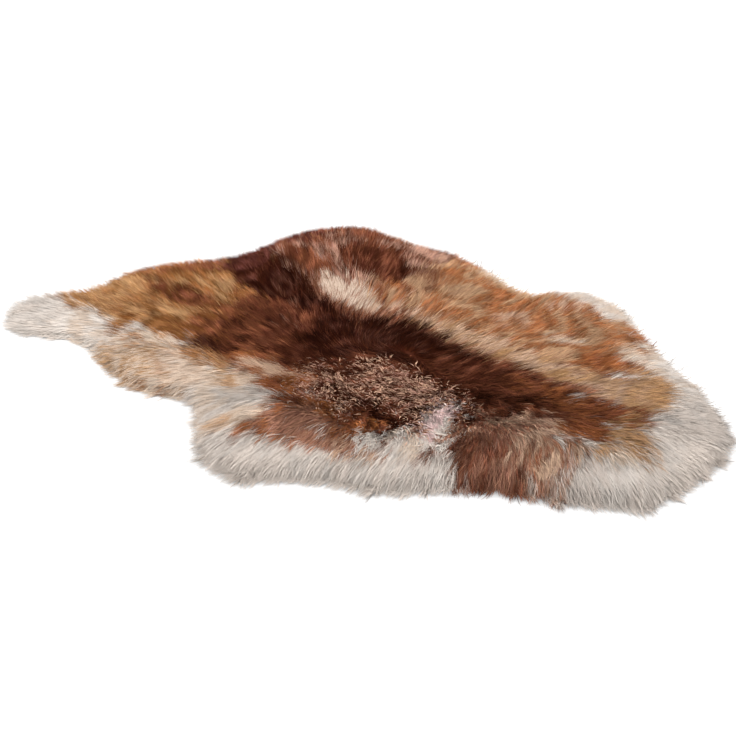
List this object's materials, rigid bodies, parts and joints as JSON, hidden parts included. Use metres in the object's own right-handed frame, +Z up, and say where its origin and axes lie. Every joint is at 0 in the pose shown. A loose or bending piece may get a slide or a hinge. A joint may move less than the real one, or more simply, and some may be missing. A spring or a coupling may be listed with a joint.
{
  "type": "lambskin",
  "caption": "Whole tanned lambskin with its long wool on, lying wool side up: narrow neck at one end, broad rump at the other, locks loose round the rim, flat leather underside.",
  "frame": {"origin": "middle of the footprint's box, on the flat leather underside", "axes": "+X along the backbone from the neck to the rump, +Y across the back to the far flank, +Z up through the wool"},
  "size_m": [1.1308, 0.7048, 0.0836],
  "materials": {
    "wool": "long natural wool, dark brown along the back, rust and golden brown on the flanks, cream white at the rim",
    "leather": "pale tanned skin side, suede-like"
  },
  "bodies": {
    "root": {"lambskin": "wool"}
  },
  "joints": []
}
